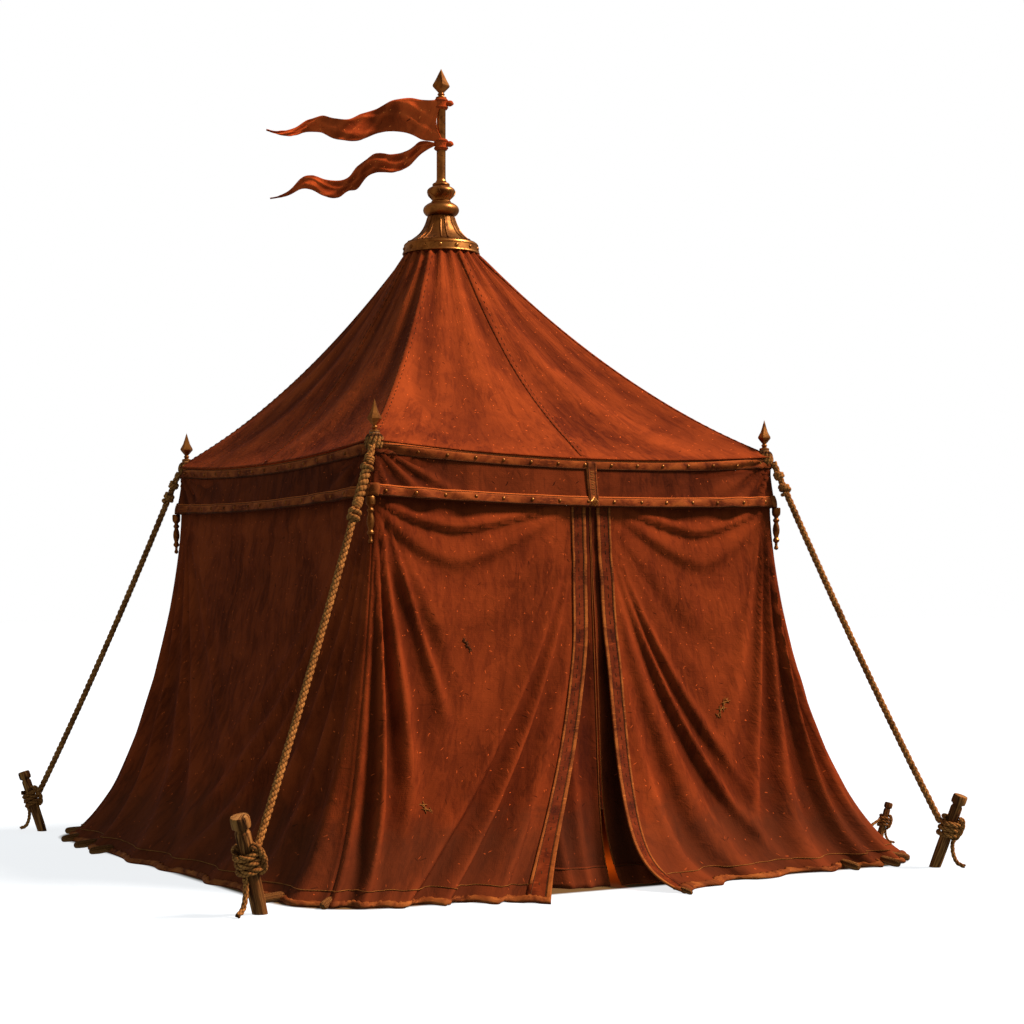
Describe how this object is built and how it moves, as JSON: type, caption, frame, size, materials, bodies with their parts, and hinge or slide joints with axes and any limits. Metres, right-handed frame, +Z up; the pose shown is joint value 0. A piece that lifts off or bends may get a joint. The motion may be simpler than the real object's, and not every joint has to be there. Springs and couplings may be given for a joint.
{
  "type": "campaign tent",
  "caption": "Square canvas campaign tent with a central mast, bronze crown and pennant, riveted valance, flared walls, a flap door and guy ropes to leaning wooden pegs.",
  "frame": {"origin": "on the ground at the foot of the mast", "axes": "+Z up along the mast; the door faces -Y, so +X is to the right of someone facing the door"},
  "size_m": [4.9913, 4.7891, 4.988],
  "materials": {
    "canvas": "heavy rust-red canvas, weathered, matt",
    "lining": "dark red-brown door curtain, matt",
    "pennant_cloth": "light orange-red cloth, matt",
    "bronze": "aged cast bronze, satin with dark hollows",
    "wood": "dark split wood, dry",
    "rope": "tan twisted fibre rope, dry"
  },
  "bodies": {
    "root": {"corner_drop_back_left": "bronze", "corner_drop_back_right": "bronze", "corner_drop_front_left": "bronze", "corner_drop_front_right": "bronze", "corner_finial_back_left": "bronze", "corner_finial_back_right": "bronze", "corner_finial_front_left": "bronze", "corner_finial_front_right": "bronze", "corner_post_back_left": "wood", "corner_post_back_right": "wood", "corner_post_front_left": "wood", "corner_post_front_right": "wood", "crown_baluster": "bronze", "crown_band": "bronze", "crown_ring": "bronze", "crown_skirt": "bronze", "door_curtain_left": "lining", "door_curtain_right": "lining", "door_flap_left": "canvas", "door_flap_right": "canvas", "guy_rope_back_left": "rope", "guy_rope_back_right": "rope", "guy_rope_front_left": "rope", "guy_rope_front_right": "rope", "mast_finial": "bronze", "mast_pole": "wood", "mast_tube": "bronze", "peg_back_left": "wood", "peg_back_right": "wood", "peg_front_left": "wood", "peg_front_right": "wood", "peg_side": "wood", "pennant": "pennant_cloth", "pennant_tie_bottom": "pennant_cloth", "pennant_tie_top": "pennant_cloth", "roof_back": "canvas", "roof_front": "canvas", "roof_left": "canvas", "roof_right": "canvas", "rope_tail_back_left": "rope", "rope_tail_back_right": "rope", "rope_tail_front_left": "rope", "rope_tail_front_right": "rope", "rope_tail_side": "rope", "side_line": "rope", "valance_back": "canvas", "valance_front": "canvas", "valance_left": "canvas", "valance_right": "canvas", "wall_back": "canvas", "wall_left": "canvas", "wall_right": "canvas"}
  },
  "joints": []
}
